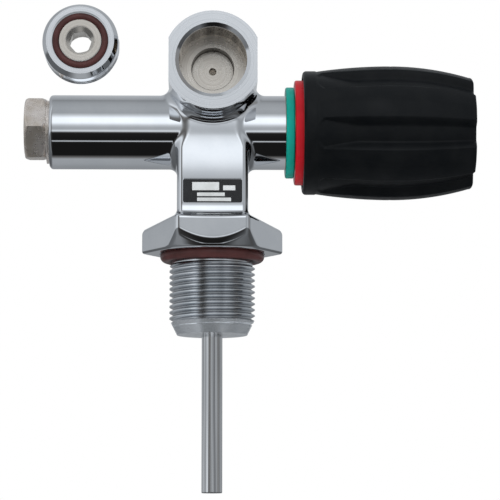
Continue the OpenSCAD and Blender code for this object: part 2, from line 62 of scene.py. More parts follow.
SAFETY_HALF_AF, SAFETY_HEAD, SAFETY_CONE_R, SAFETY_SHANK_R, SAFETY_SHANK = 6.35, 5.0, 5.8, 4.5, 6.6
SAFETY_HOLE_R, SAFETY_HOLE_DEPTH, VENT_R, VENT_Y = 1.6, 3.8, 0.9, 2.2
LABEL_HALF_W, LABEL_HALF_H, LABEL_Z, LABEL_DEPTH = 9.25, 3.8, 18.0, 0.6
LABEL_GAP, LABEL_MIDDLE, LABEL_HALF_T, LABEL_FACE_Y = 0.25, 0.4, 0.22, -12.63
STEM_R, STEM_ROOT, STEM_RELIEF, STEM_TIP, STEM_LEN = 13.15, 12.05, 12.45, 10.8, 25.0
STEM_LAND, STEM_TOP, RELIEF_Z, THREAD_START_Z = 0.17, 1.2, -3.9, -3.2
TUBE_R, TUBE_INSIDE_R, TUBE_TOP_R, TUBE_TOP, TUBE_END, TUBE_SOCKET = 3.175, 2.3, 3.0, -17.2, -73.3, 8.0
NECK_SEAL_R, NECK_SEAL_WIRE, NECK_SEAL_Z = 14.255, 1.765, -0.85
PLUG_HALF_AF, PLUG_LEFT, PLUG_FACE, PLUG_COLLAR_R, PLUG_COLLAR_RIGHT = 9.1, -57.9, -51.1, 9.75, -50.25
PLUG_ANGLE, PLUG_LIFT, PLUG_CONE_R, PLUG_BACK_CONE_R = 34, 0.9, 8.7, 9.0
PLUG_SHANK_R, PLUG_SHANK_RIGHT = 7.4, -41.5
INSERT_AT = (-39.2, -42.8, 58.2)
INSERT_R, INSERT_FACE_R, INSERT_ROOT, INSERT_WAIST_R, INSERT_NOSE_R = 11.2, 10.0, 10.2, 10.0, 6.3
INSERT_COLLAR, INSERT_THREAD_END, INSERT_WAIST_END, INSERT_LEN = 6.2, 11.6, 13.0, 17.3
INSERT_MOUTH_R, INSERT_MOUTH_DEPTH, INSERT_BACK_BORE_R, INSERT_BACK_BORE = 4.25, 1.5, 4.4, 8.0
NOSE_START, NOSE_GROOVE_R, NOSE_GROOVE_AT, NOSE_GROOVE_HALF, NOSE_TIP_R = 12.5, 5.3, 15.0, 1.0, 6.0
KEY_HALF_AF, KEY_CORNER, KEY_DEPTH, KEY_ANGLE = 3.0, 1.2, 9.0, 12
FACE_GROOVE_R, FACE_GROOVE_HALF, FACE_GROOVE_DEPTH = 7.36, 1.24, 2.2
FACE_SEAL_R, FACE_SEAL_WIRE, FACE_SEAL_DEPTH = 7.23, 1.06, 1.1
NUT_X, NUT_HALF_AF, NUT_HALF_H, NUT_BORE_R = 64.7, 5.0, 2.5, 3.05
FLUTE_AT, FLUTE_START, FLUTE_HALF, FLUTE_WALL, FLUTE_DEPTH = 39.6, 31.7, 14.4, 6.4, 2.6
LIP_R, GRIP_R, GRIP_END_R = 19.15, 20.75, 17.3
GRIP_LEFT, GRIP_WIDEST, GRIP_RIGHT, GRIP_EDGE, GRIP_INSIDE_R = 27.8, 55.1, 80.5, 79.3, 16.92
# Bores of the crossbar, each a radius and the x of its bottom: from the left end and from the right
LEFT_BORES = ((8.0, -40.3), (9.2, -48.4), (3.5, 2.5))
RIGHT_BORES = ((9.0, 16.0), (10.1, 20.8))
THROAT_R, CHAMBER_R, CHAMBER_LEFT = 1.75, 7.0, 4.5
SEAT_LIP_R, SEAT_LIP_HALF, SEAT_LIP_RIGHT = 2.3, 0.5, 5.7


# ---------- solids as distance fields, meshed by dual contouring ----------
# A field is negative inside its solid. A factor under 1 makes the field of a cone, a roof or a thread
# grow no faster than the distance to it.
HALVINGS = 14
FLAT_SHARE = 0.04
SMOOTH_MEAN = 0.985
SMOOTH_ANGLE = 14
TURNED_SMOOTH_ANGLE = 38


def round_and(a, b, edge):
    """Both solids; where their surfaces cross, the edge is rounded."""
    outside = np.hypot(np.maximum(a + edge, 0), np.maximum(b + edge, 0))
    return np.minimum(np.maximum(a, b) + edge, 0) + outside - edge


def fillet_or(a, b, r):
    """Either solid, with a fillet of radius r where they meet."""
    inside = np.hypot(np.maximum(r - a, 0), np.maximum(r - b, 0))
    return np.maximum(r, np.minimum(a, b)) - inside


def cut(solid, *tools):
    for tool in tools:
        solid = np.maximum(solid, -tool)
    return solid


def ease(value, start, end):
    """0 before start, 1 after end, and an S-shaped rise between them."""
    t = np.clip((value - start) / (end - start), 0, 1)
    return t * t * (3 - 2 * t)


def hexagon(a, b, half_af):
    """Distance to a hexagon whose corners lie on the a axis."""
    a, b = np.abs(a), np.abs(b)
    return np.maximum(b, a * math.cos(math.pi / 6) + b * 0.5) - half_af


def soft_hexagon(a, b, half_af, r):
    """Distance to a hexagon with rounded corners that lie on the a axis."""
    a, b, half = np.abs(a), np.abs(b), half_af - r
    past = 2 * np.minimum(b * 0.5 - a * math.cos(math.pi / 6), 0)
    a, b = a + past * math.cos(math.pi / 6), b - past * 0.5
    edge = half * math.tan(math.pi / 6)
    return np.hypot(a - np.clip(a, -edge, edge), b - half) * np.sign(b - half) - r


def rounded_rectangle(a, b, half_a, half_b, r):
    a, b = np.abs(a) - half_a + r, np.abs(b) - half_b + r
    return np.minimum(np.maximum(a, b), 0) + np.hypot(np.maximum(a, 0), np.maximum(b, 0)) - r


def screw_radius(along, angle, root, crest, land):
    """Radius of a right-hand V thread's surface. land is the flat share of its crest."""
    phase = np.mod(along / PITCH - angle / (2 * math.pi), 1)
    ridge = 0.84
    height = (ridge - np.abs(2 * phase - 1)) / (ridge - land)
    return root + (crest - root) * np.clip(height, 0, 1)


def gradient(field, p, h=1e-3):
    g = np.empty_like(p)
    for axis in range(3):
        step = np.zeros(3)
        step[axis] = h
        ahead = field(*(p + step).T)
        behind = field(*(p - step).T)
        g[:, axis] = ahead - behind
    size = np.linalg.norm(g, axis=1, keepdims=True)
    return g / np.maximum(size, 1e-12)


def crossings(field, values, low, step):
    """Where the grid's edges cross the surface.

    Each axis gives its number, the grid indices, the points, and whether each edge leaves the solid.
    """
    found = []
    for axis in range(3):
        first = [slice(None)] * 3
        second = [slice(None)] * 3
        first[axis] = slice(0, -1)
        second[axis] = slice(1, None)
        inside_a = values[tuple(first)] < 0
        inside_b = values[tuple(second)] < 0
        index = np.argwhere(inside_a != inside_b)
        leaves = inside_a[tuple(index.T)]
        a = low + step * index
        b = a.copy()
        b[:, axis] += step
        inner = np.where(leaves[:, None], a, b)
        outer = np.where(leaves[:, None], b, a)
        for _ in range(HALVINGS):
            middle = (inner + outer) / 2
            is_in = (field(*middle.T) < 0)[:, None]
            inner = np.where(is_in, middle, inner)
            outer = np.where(is_in, outer, middle)
        found.append((axis, index, (inner + outer) / 2, leaves))
    return found


def contour(field, low, high, step):
    """Vertices, quads and one normal per face corner of the surface field = 0."""
    low, high = np.array(low, float), np.array(high, float)
    count = np.ceil((high - low) / step).astype(int) + 1
    axes = [low[i] + step * np.arange(count[i]) for i in range(3)]
    values = field(*np.meshgrid(*axes, indexing="ij"))
    corners, points, normals = [], [], []
    for axis, index, point, leaves in crossings(field, values, low, step):
        u, v = (axis + 1) % 3, (axis + 2) % 3
        around = []
        for du, dv in ((0, 0), (-1, 0), (-1, -1), (0, -1)):
            cell = index.copy()
            cell[:, u] += du
            cell[:, v] += dv
            around.append(np.ravel_multi_index(cell.T, count))
        around = np.stack(around, axis=1)
        around[~leaves] = around[~leaves][:, ::-1]
        corners.append(around)
        points.append(point)
        normals.append(gradient(field, point))
    corners = np.concatenate(corners)
    points = np.concatenate(points)
    normals = np.concatenate(normals)
    cells, quads = np.unique(corners, return_inverse=True)
    quads = quads.reshape(corners.shape)
    verts = place_vertices(cells, quads, points, normals, low, step, count)
    verts = settle(field, verts, quads, normals)
    return verts, quads, corner_normals(field, verts, quads)


def place_vertices(cells, quads, points, normals, low, step, count):
    """One vertex per cell, at the point that fits the planes through the cell's crossings.

    Directions that the planes hardly fix, by FLAT_SHARE, keep the crossings' mean.
    """
    n = len(cells)
    flat = quads.ravel()
    p = np.repeat(points, 4, axis=0)
    m = np.repeat(normals, 4, axis=0)
    total = np.bincount(flat, minlength=n)
    mass = np.stack([np.bincount(flat, p[:, i], n) for i in range(3)], axis=1) / total[:, None]
    along = (m * (p - mass[flat])).sum(axis=1)
    rhs = np.stack([np.bincount(flat, m[:, i] * along, n) for i in range(3)], axis=1)
    matrix = np.empty((n, 3, 3))
    for i in range(3):
        for j in range(3):
            matrix[:, i, j] = np.bincount(flat, m[:, i] * m[:, j], n)
    size, basis = np.linalg.eigh(matrix)
    keep = size > FLAT_SHARE * size[:, 2:]
    inverse = np.where(keep, 1 / np.where(keep, size, 1), 0)
    local = np.einsum("nji,nj->ni", basis, rhs) * inverse
    verts = mass + np.einsum("nij,nj->ni", basis, local)
    corner = low + step * np.stack(np.unravel_index(cells, count), axis=1)
    return np.clip(verts, corner, corner + step)


def settle(field, verts, quads, normals):
    """Moves the vertices of smooth places exactly onto the surface."""
    n = len(verts)
    flat = quads.ravel()
    m = np.repeat(normals, 4, axis=0)
    mean = np.stack([np.bincount(flat, m[:, i], n) for i in range(3)], axis=1)
    mean /= np.maximum(np.bincount(flat, minlength=n), 1)[:, None]
    smooth = np.linalg.norm(mean, axis=1) > SMOOTH_MEAN
    for _ in range(3):
        p = verts[smooth]
        verts[smooth] = p - gradient(field, p) * field(*p.T)[:, None]
    return verts


def corner_normals(field, verts, quads):
    """One normal where the faces round a vertex agree within SMOOTH_ANGLE degrees, else one per face."""
    n = len(verts)
    centre = verts[quads].mean(axis=1)[:, None, :]
    sample = verts[quads] * 0.7 + centre * 0.3
    corner = gradient(field, sample.reshape(-1, 3))
    flat = quads.ravel()
    mean = np.stack([np.bincount(flat, corner[:, i], n) for i in range(3)], axis=1)
    mean /= np.maximum(np.linalg.norm(mean, axis=1, keepdims=True), 1e-12)
    agree = (corner * mean[flat]).sum(axis=1)
    worst = np.ones(n)
    np.minimum.at(worst, flat, agree)
    smooth = worst > math.cos(math.radians(SMOOTH_ANGLE))
    own = gradient(field, verts)
    return np.where(smooth[flat][:, None], own[flat], corner)


def solid(name, field, low, high, step, material, body, slot):
    """Piece meshed from its distance field, on a grid of the given step from low to high."""
    verts, quads, normals = contour(field, low, high, step)
    mesh = bpy.data.meshes.new(name)
    mesh.from_pydata((verts * MM).tolist(), [], quads.tolist())
    mesh.polygons.foreach_set("use_smooth", [True] * len(quads))
    mesh.normals_split_custom_set(normals.tolist())
    return add(name, mesh, material, body, slot)


def add(name, mesh, material, body, slot):
    mesh.materials.append(material)
    obj = bpy.data.objects.new(name, mesh)
    bpy.context.scene.collection.objects.link(obj)
    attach(obj, body)
    return obj


# ---------- surfaces turned from a profile ----------

def rounded(points, n=4):
    """Profile of (along, radius, rounding) corners with every rounding drawn as an arc of n steps."""
    out = []
    count = len(points)
    for i, (a, r, e) in enumerate(points):
        here = np.array((a, r), float)
        if e <= 0:
            out.append(here)
            continue
        before = np.array(points[i - 1][:2], float) - here
        after = np.array(points[(i + 1) % count][:2], float) - here
        before /= np.linalg.norm(before)
        after /= np.linalg.norm(after)
        half = math.acos(np.clip(before @ after, -1, 1)) / 2
        reach = e / math.tan(half)
        centre = here + (before + after) / np.linalg.norm(before + after) * e / math.sin(half)
        start, end = here + before * reach - centre, here + after * reach - centre
        for k in range(n + 1):
            t = k / n
            angle = math.pi - 2 * half
            mix = (math.sin((1 - t) * angle) * start + math.sin(t * angle) * end) / math.sin(angle)
            out.append(centre + mix)
    return np.array(out)


def profile_normals(profile):
    """Normals (along, radial) at the start and the end of each stretch of a closed profile."""
    step = np.roll(profile, -1, axis=0) - profile
    length = np.linalg.norm(step, axis=1, keepdims=True)
    flat = np.stack([-step[:, 1], step[:, 0]], axis=1) / length
    before = np.roll(flat, 1, axis=0)
    shared = flat * length ** 2 + before * np.roll(length, 1, axis=0) ** 2
    shared /= np.linalg.norm(shared, axis=1, keepdims=True)
    soft = (flat * before).sum(axis=1, keepdims=True) > math.cos(math.radians(TURNED_SMOOTH_ANGLE))
    start = np.where(soft, shared, flat)
    next_soft = np.roll(soft, -1, axis=0)
    end = np.where(next_soft, np.roll(shared, -1, axis=0), flat)
    return start, end


def turn(name, profile, material, body, slot, segments=160, radius=None, upright=False):
    """Closed solid turned about the crossbar's axis, or about the stem's when upright.

    radius(along, angle, r) shapes it further.
    """
    rows = len(profile)
    angle = np.linspace(0, 2 * math.pi, segments, endpoint=False)
    along = np.repeat(profile[:, 0][:, None], segments, axis=1)
    r = np.repeat(profile[:, 1][:, None], segments, axis=1)
    turned = np.broadcast_to(angle, along.shape)
    if radius:
        r = radius(along, turned, r)

    def place(a, q, t, lift):
        if upright:
            return np.stack([q * np.cos(t), q * np.sin(t), a], axis=-1)
        return np.stack([a, -q * np.sin(t), lift + q * np.cos(t)], axis=-1)

    verts = place(along, r, turned, BAR_Z).reshape(-1, 3)
    i, j = np.meshgrid(np.arange(rows), np.arange(segments), indexing="ij")
    i2, j2 = (i + 1) % rows, (j + 1) % segments
    row, next_row = i * segments, i2 * segments
    quads = np.stack([row + j, row + j2, next_row + j2, next_row + j], axis=2)
    mesh = bpy.data.meshes.new(name)
    mesh.from_pydata((verts * MM).tolist(), [], quads.reshape(-1, 4).tolist())
    mesh.polygons.foreach_set("use_smooth", [True] * (rows * segments))
    if radius:
        mesh.set_sharp_from_angle(angle=math.radians(TURNED_SMOOTH_ANGLE))
    else:
        start, end = profile_normals(profile)
        turns = ((start, j), (start, j2), (end, j2), (end, j))
        loops = [place(n[i][..., 0], n[i][..., 1], angle[k], 0.0) for n, k in turns]
        mesh.normals_split_custom_set(np.stack(loops, axis=2).reshape(-1, 3).tolist())
    return add(name, mesh, material, body, slot)


def bar_of_paint(name, x0, x1, z0, z1, material):
    """A slightly raised plain stroke on the label plate."""
    mesh = bpy.data.meshes.new(name)
    b = bmesh.new()
    bmesh.ops.create_cube(b, size=1.0)
    size = Vector((x1 - x0, 0.1, z1 - z0)) * MM
    centre = Vector(((x0 + x1) / 2, LABEL_FACE_Y, (z0 + z1) / 2)) * MM
    for v in b.verts:
        v.co = centre + Vector([v.co[k] * size[k] for k in range(3)])
    bmesh.ops.bevel(b, geom=b.edges[:], offset=0.03 * MM, segments=2, affect="EDGES")
    b.to_mesh(mesh)
    b.free()
    return add(name, mesh, material, "valve", "white_plastic")


# ---------- materials ----------

# The warm metal ends inside the boss, WARM_END behind its face, and the turned face is FACE_SKIN deep.
# TURNED_LINES sets how close its rings lie, RIM_SHADE_HALF how wide the band of painted shade round the
# recess is.
WARM_END, FACE_SKIN, RIM_SHADE_HALF = 30.0, 0.03, 0.16
TURNED_LINES = 2400.0


class Tree:
    """Short calls for building a node tree."""

    def __init__(self, tree):
        self.tree = tree
        tree.nodes.clear()

    def node(self, kind, inputs=None, **settings):
        n = self.tree.nodes.new(kind)
        for key, value in settings.items():
            setattr(n, key, value)
        for key, value in (inputs or {}).items():
            self.put(n.inputs[key], value)
        return n

    def put(self, socket, value):
        if isinstance(value, bpy.types.NodeSocket):
            self.tree.links.new(value, socket)
        elif isinstance(value, bpy.types.Node):
            self.tree.links.new(value.outputs[0], socket)
        else:
            socket.default_value = value

    def math(self, op, a, b=0.0, add=0.0):
        return self.node("ShaderNodeMath", {0: a, 1: b, 2: add}, operation=op).outputs[0]

    def hypot(self, a, b):
        square_a, square_b = self.math("MULTIPLY", a, a), self.math("MULTIPLY", b, b)
        return self.math("SQRT", self.math("ADD", square_a, square_b))

    def span(self, value, low, high, to_low=0.0, to_high=1.0):
        sockets = {0: value, 1: low, 2: high, 3: to_low, 4: to_high}
        return self.node("ShaderNodeMapRange", sockets).outputs[0]

    def smooth(self, value, low, high):
        sockets = {0: value, 1: low, 2: high}
        return self.node("ShaderNodeMapRange", sockets, interpolation_type="SMOOTHSTEP").outputs[0]

    def mix(self, factor, a, b, mode="MIX"):
        n = self.node("ShaderNodeMix", data_type="RGBA", blend_type=mode)
        self.put(n.inputs[0], factor)
        self.put(n.inputs[6], a)
        self.put(n.inputs[7], b)
        return n.outputs[2]

    def noise(self, vector, scale, detail=3.0, rough=0.5):
        sockets = {"Vector": vector, "Scale": scale, "Detail": detail, "Roughness": rough}
        return self.node("ShaderNodeTexNoise", sockets).outputs[0]

    def ramp(self, value, stops):
        n = self.node("ShaderNodeValToRGB", {0: value})
        ramp = n.color_ramp
        while len(ramp.elements) > 1:
            ramp.elements.remove(ramp.elements[-1])
        ramp.elements[0].position = stops[0][0]
        ramp.elements[0].color = stops[0][1]
        for place, color in stops[1:]:
            ramp.elements.new(place).color = color
        return n.outputs[0]


def rgb(r, g, b):
    return (r, g, b, 1.0)


def start_material(name):
    """An empty finish: material, its node tree, its shader and the place on the object."""
    mat = bpy.data.materials.new(name)
    mat.use_nodes = True
    t = Tree(mat.node_tree)
    shader = t.node("ShaderNodeBsdfPrincipled")
    out = t.node("ShaderNodeOutputMaterial")
    t.put(out.inputs[0], shader)
    place = t.node("ShaderNodeTexCoord").outputs["Object"]
    return mat, t, shader, place


def start_surface(name, color, second, metallic, rough, rough_span, bump=0.0, bump_scale=2000.0,
                  grain=120.0, stretch=None, gloss=0.5):
    """A finish whose colour and roughness wander between two values, with a fine relief."""
    mat, t, shader, place = start_material(name)
    if stretch:
        place = t.node("ShaderNodeMapping", {"Vector": place, "Scale": stretch}).outputs[0]
    cloud = t.noise(place, grain, 4.0, 0.6)
    t.put(shader.inputs["Base Color"], t.mix(t.smooth(cloud, 0.35, 0.68), color, second))
    shader.inputs["Metallic"].default_value = metallic
    shader.inputs["Specular IOR Level"].default_value = gloss
    wear = t.noise(place, grain * 3.1, 5.0, 0.65)
    t.put(shader.inputs["Roughness"], t.span(wear, 0.3, 0.7, rough - rough_span, rough + rough_span))
    if bump:
        relief = t.noise(place, bump_scale, 3.0, 0.6)
        b = t.node("ShaderNodeBump", {"Strength": bump, "Distance": 0.0001, "Height": relief})
        t.put(shader.inputs["Normal"], b)
    return mat, t, shader


def surface(*values, **options):
    """The finished material only; start_surface also gives what a special finish builds on."""
    return start_surface(*values, **options)[0]


def thread_plating():
    """Plating of the stem: painted shade darkens the thread's valleys, and the turned tip is satin."""
    # The third, near-black colour is painted shade for the thread's valleys.
    light, shaded, valley_shade = rgb(0.84, 0.86, 0.89), rgb(0.72, 0.75, 0.78), rgb(0.05, 0.055, 0.06)
    mat, t, shader = start_surface("thread plating", light, shaded, 1.0, 0.13, 0.05, 0.08)
    xyz = t.node("ShaderNodeSeparateXYZ", {0: t.node("ShaderNodeTexCoord").outputs["Object"]})
    x, y, z = xyz.outputs
    radius = t.hypot(x, y)
    color = shader.inputs["Base Color"].links[0].from_socket
    tip = t.smooth(z, (4.5 - STEM_LEN) * MM, (3.9 - STEM_LEN) * MM)
    # Painted shade: the nearer the surface lies to the thread's root, the more of the near-black colour
    # it gets.
    height = t.span(radius, (STEM_ROOT + 0.1) * MM, (STEM_R - 0.15) * MM, 0.6, 1.0)
    relief = t.smooth(z, -4.2 * MM, -3.4 * MM)
    # The turned tip and the plain relief get no painted shade.
    shade = t.math("MAXIMUM", height, t.math("MAXIMUM", tip, relief))
    t.put(shader.inputs["Base Color"], t.mix(shade, valley_shade, color))
    t.put(shader.inputs["Metallic"], t.span(tip, 0.0, 1.0, 1.0, 0.78))
    return mat


def chrome(name, centre_x, centre_z, front, warm_r, warm_from, ring_r, ring_rough):
    """Bright plating round an axis along y, with a turned front face and warm satin inside warm_r."""
    mat, t, shader, place = start_material(name)
    xyz = t.node("ShaderNodeSeparateXYZ", {0: place})
    aside = t.math("SUBTRACT", xyz.outputs[0], centre_x * MM)
    up = t.math("SUBTRACT", xyz.outputs[2], centre_z * MM)
    radius = t.hypot(up, aside)
    depth = t.math("SUBTRACT", xyz.outputs[1], front * MM)
    deep = t.smooth(depth, (warm_from - 0.8) * MM, warm_from * MM)
    deep = t.math("MULTIPLY", deep, t.math("LESS_THAN", depth, WARM_END * MM))
    warm = t.math("MULTIPLY", t.math("LESS_THAN", radius, warm_r * MM), deep)
    in_ring = t.math("LESS_THAN", radius, ring_r * MM)
    ring = t.math("MULTIPLY", in_ring, t.math("LESS_THAN", depth, FACE_SKIN * MM))
    turning = t.node("ShaderNodeCombineXYZ", {0: t.math("MULTIPLY", radius, TURNED_LINES)})
    marks = t.noise(turning, 1.0, 3.0, 0.7)
    t.put(shader.inputs["Base Color"], chrome_color(t, place, radius, warm, ring, marks))
    shader.inputs["Metallic"].default_value = 1.0
    polish = t.span(t.noise(place, 260.0, 5.0, 0.65), 0.35, 0.75, 0.02, 0.07)
    satin = t.math("ADD", t.math("MULTIPLY", warm, 0.24), t.math("MULTIPLY", ring, ring_rough))
    t.put(shader.inputs["Roughness"], t.math("ADD", polish, satin))
    lines = t.math("MULTIPLY", marks, t.math("MAXIMUM", warm, t.math("MULTIPLY", ring, 0.4)))
    pits = t.math("MULTIPLY", t.noise(place, 900.0, 3.0, 0.5), 0.04)
    height = t.math("ADD", lines, pits)
    b = t.node("ShaderNodeBump", {"Strength": 0.5, "Distance": 0.00005, "Height": height})
    t.put(shader.inputs["Normal"], b)
    return mat


def chrome_color(t, place, radius, warm, ring, marks):
    """Cold plating outside, warm metal with turned rings inside, and painted shade in a band round the
    recess.
    """
    cloud = t.smooth(t.noise(place, 90.0, 4.0, 0.6), 0.3, 0.7)
    bright = t.mix(cloud, rgb(0.87, 0.885, 0.91), rgb(0.81, 0.83, 0.86))
    golden = t.mix(cloud, rgb(0.97, 0.92, 0.85), rgb(0.91, 0.85, 0.77))
    shaded = t.mix(1.0, golden, rgb(0.78, 0.76, 0.74), "MULTIPLY")
    golden = t.mix(t.smooth(marks, 0.3, 0.7), shaded, golden)
    # Painted shade: a near-black band at the recess's edge and down its wall, standing in for the shadow
    # inside the recess.
    rim = t.math("ABSOLUTE", t.math("SUBTRACT", radius, (RECESS_R - 0.03) * MM))
    rim = t.math("MULTIPLY", t.math("LESS_THAN", rim, RIM_SHADE_HALF * MM), warm)
    golden = t.mix(t.math("MULTIPLY", rim, 0.85), golden, rgb(0.05, 0.04, 0.03))
    turned = t.math("MULTIPLY", ring, t.smooth(marks, 0.35, 0.65))
    bright = t.mix(turned, bright, rgb(0.95, 0.96, 0.98))
    return t.mix(warm, bright, golden)


# ---------- pieces ----------

def neck_field(x, y, z):
    """Upright column: it flares at its foot, leans back and gets rounder towards the crossbar."""
    flare = np.maximum(FLARE_TOP - z, 0) ** 2 / FLARE_LENGTH
    flare = flare - LEAN * ease(z, LEAN_START, BAR_Z)
    corner = NECK_CORNER + SOFTEN * ease(z, SOFTEN_START, BAR_Z)
    side = rounded_rectangle(x, y, NECK_HALF_W, NECK_HALF_D + flare, corner)
    rise = np.where(y < 0, FRONT_RISE, BACK_RISE)
    return np.maximum(np.maximum(side, z - BAR_Z - rise), NECK_LOW - z)


def flange_field(x, y, z):
    """Hexagon whose top falls away to both sides like a roof.

    Its lower edge is bevelled in front and behind.
    """
    across, deep = np.abs(x), np.abs(y)
    slope = (z - ROOF_Z + (across - NECK_HALF_W) * ROOF_FALL + deep * ROOF_DRAFT) * 0.91
    dip = ROOF_DIP * np.clip(1 - (across / NECK_HALF_W) ** 2, 0, 1)
    front = (z - ROOF_Z + deep * ROOF_DRAFT + dip) * 0.99
    side = soft_hexagon(x, y, FLANGE_HALF_AF, FLANGE_CORNER)
    top_edge = 0.8 + 0.4 * np.clip((across - 14.0) / 6.0, 0, 1)
    flange = round_and(side, np.maximum(slope, front), top_edge)
    bevel = (np.hypot(x * BEVEL_SQUEEZE, y) - BEVEL_R - z * BEVEL_FALL) * 0.87
    bevel_edge, lower_edge = 0.8, 0.9
    return round_and(round_and(flange, bevel, bevel_edge), -z, lower_edge)


def body_field(x, y, z):
    """The forging: neck, flange, crossbar and boss run into each other, less all that is cut into it."""
    bar_r = np.hypot(y, z - BAR_Z)
    bar = np.maximum(round_and(bar_r - BAR_R, BAR_LEFT - x, BAR_EDGE), x - BAR_RIGHT)
    boss_r = np.hypot(x, z - OUTLET_Z)
    boss = np.maximum(np.maximum(boss_r - BOSS_R, np.abs(x) - BOSS_FLAT), BOSS_FRONT - y)
    boss = round_and(boss, y - BOSS_BACK, BOSS_EDGE)
    whole = fillet_or(neck_field(x, y, z), flange_field(x, y, z), FLANGE_FILLET)
    under_bar = ease(BAR_Z - z, 2.0, 8.0)
    whole = fillet_or(whole, bar, BAR_FILLET + BAR_FILLET_GAIN * under_bar)
    whole = fillet_or(whole, boss, BOSS_FILLET)
    tools = [*outlet_tools(y - BOSS_FRONT, boss_r), *neck_tools(x, y, z), *bar_tools(x, bar_r)]
    return cut(whole, *tools)


def outlet_tools(depth, boss_r):
    """Bevel of the mouth, socket, recess, gas hole with its countersink, and the dimple in the back."""
    mouth_bevel, countersink_r = 0.9, 1.15
    floor = SOCKET_DEPTH + RECESS_DEPTH
    yield np.maximum((boss_r - MOUTH_R + depth * 1.4) * 0.58, depth - mouth_bevel)
    yield np.maximum(boss_r - SOCKET_R, depth - 4.0)
    yield np.maximum(boss_r - SOCKET_LINER_R, np.maximum(LINER_START - depth, depth - SOCKET_DEPTH))
    yield np.maximum(boss_r - RECESS_R, depth - floor)
    yield np.maximum(boss_r - GAS_HOLE_R, depth - floor - GAS_HOLE_DEPTH)
    countersink = (boss_r + depth - floor - countersink_r) * 0.707
    yield np.maximum(countersink, np.maximum(floor - 0.5 - depth, depth - floor - 0.7))
    dimple = (boss_r - DIMPLE_R - (depth - DIMPLE_FLOOR) * 1.417) * 0.577
    yield np.maximum(dimple, DIMPLE_FLOOR - depth)


def neck_tools(x, y, z):
    """Groove of the O-ring under the flange, bore of the safety plug and pocket of the label."""
    r = np.hypot(x, y)
    yield np.maximum(np.maximum(SEAL_GROOVE_IN - r, r - SEAL_GROOVE_OUT), z - SEAL_GROOVE_Z)
    yield np.maximum(np.hypot(x, z - SAFETY_Z) - SAFETY_BORE_R, SAFETY_BORE_Y - y)
    label = rounded_rectangle(x, z - LABEL_Z, LABEL_HALF_W, LABEL_HALF_H, 0.7)
    yield np.maximum(label, y + NECK_HALF_D - LABEL_DEPTH)


def bar_tools(x, bar_r):
    """Bores of both ends, gas throat between them, and the seat's lip left standing in its chamber."""
    for r, bottom in LEFT_BORES:
        yield np.maximum(bar_r - r, x - bottom)
    for r, bottom in RIGHT_BORES:
        yield np.maximum(bar_r - r, bottom - x)
    yield bar_r - THROAT_R + np.maximum(-x, 0)
    lip = np.maximum(np.abs(bar_r - SEAT_LIP_R) - SEAT_LIP_HALF, x - SEAT_LIP_RIGHT)
    yield np.maximum(np.maximum(bar_r - CHAMBER_R, CHAMBER_LEFT - x), -lip)


def label_field(x, y, z):
    """Plate that lies in the label's pocket with a gap all round."""
    flat = rounded_rectangle(x, z - LABEL_Z, LABEL_HALF_W - LABEL_GAP, LABEL_HALF_H - LABEL_GAP, 0.6)
    return np.maximum(flat, np.abs(y + NECK_HALF_D - LABEL_MIDDLE) - LABEL_HALF_T)


def stem_field(x, y, z):
    """Threaded stem with a plain relief under the flange, a coned tip and the dip tube's socket."""
    r = np.hypot(x, y)
    angle = np.arctan2(y, x)
    screw = (r - screw_radius(z, angle, STEM_ROOT, STEM_R, STEM_LAND)) * 0.6
    relief = np.maximum(r - STEM_RELIEF, RELIEF_Z - z)
    tip = (r - STEM_TIP - (z + STEM_LEN) * 0.5) * 0.894
    start = (r - STEM_RELIEF + (z - THREAD_START_Z) * 0.9) * 0.74
    threaded = np.maximum(np.maximum(screw, tip), start)
    whole = np.minimum(threaded, relief)
    whole = np.maximum(whole, np.maximum(z - STEM_TOP, -STEM_LEN - z))
    return cut(whole, np.maximum(r - TUBE_R, z + STEM_LEN - TUBE_SOCKET))


def liner_field(x, y, z):
    """Threaded wall of the outlet's socket."""
    depth = y - BOSS_FRONT
    up = z - OUTLET_Z
    r = np.hypot(x, up)
    screw = (screw_radius(depth, -np.arctan2(up, x), SOCKET_ROOT, SOCKET_R, SOCKET_LAND) - r) * 0.5
    wall = np.where(depth < SOCKET_THREAD_END, screw, SOCKET_R - r)
    ends = np.maximum(LINER_START + LINER_GAP - depth, depth - SOCKET_DEPTH + LINER_GAP)
    return np.maximum(np.maximum(wall, r - SOCKET_LINER_R + LINER_GAP), ends)


def plug_field(x, y, z):
    """Side plug: round collar, hexagonal head coned at both ends, and the shank in the crossbar."""
    bar_r = np.hypot(y, z - BAR_Z)
    ends = np.maximum(x - PLUG_COLLAR_RIGHT, PLUG_FACE - x)
    collar = round_and(bar_r - PLUG_COLLAR_R, ends, 0.15)
    turn_by = math.radians(PLUG_ANGLE)
    up = z - BAR_Z - PLUG_LIFT
    a = -up * math.cos(turn_by) + y * math.sin(turn_by)
    b = up * math.sin(turn_by) + y * math.cos(turn_by)
    r = np.hypot(y, up)
    head = round_and(hexagon(a, b, PLUG_HALF_AF), np.maximum(x + 51.0, PLUG_LEFT - x), 0.3)
    outer_cone = (r - PLUG_CONE_R - (x - PLUG_LEFT) * 1.73) * 0.5
    inner_cone = (r - PLUG_BACK_CONE_R + (x - PLUG_FACE) * 1.45) * 0.57
    head = round_and(head, np.maximum(outer_cone, inner_cone), 0.3)
    shank = np.maximum(bar_r - PLUG_SHANK_R, np.maximum(x - PLUG_SHANK_RIGHT, -51.0 - x))
    return np.minimum(np.minimum(collar, head), shank)


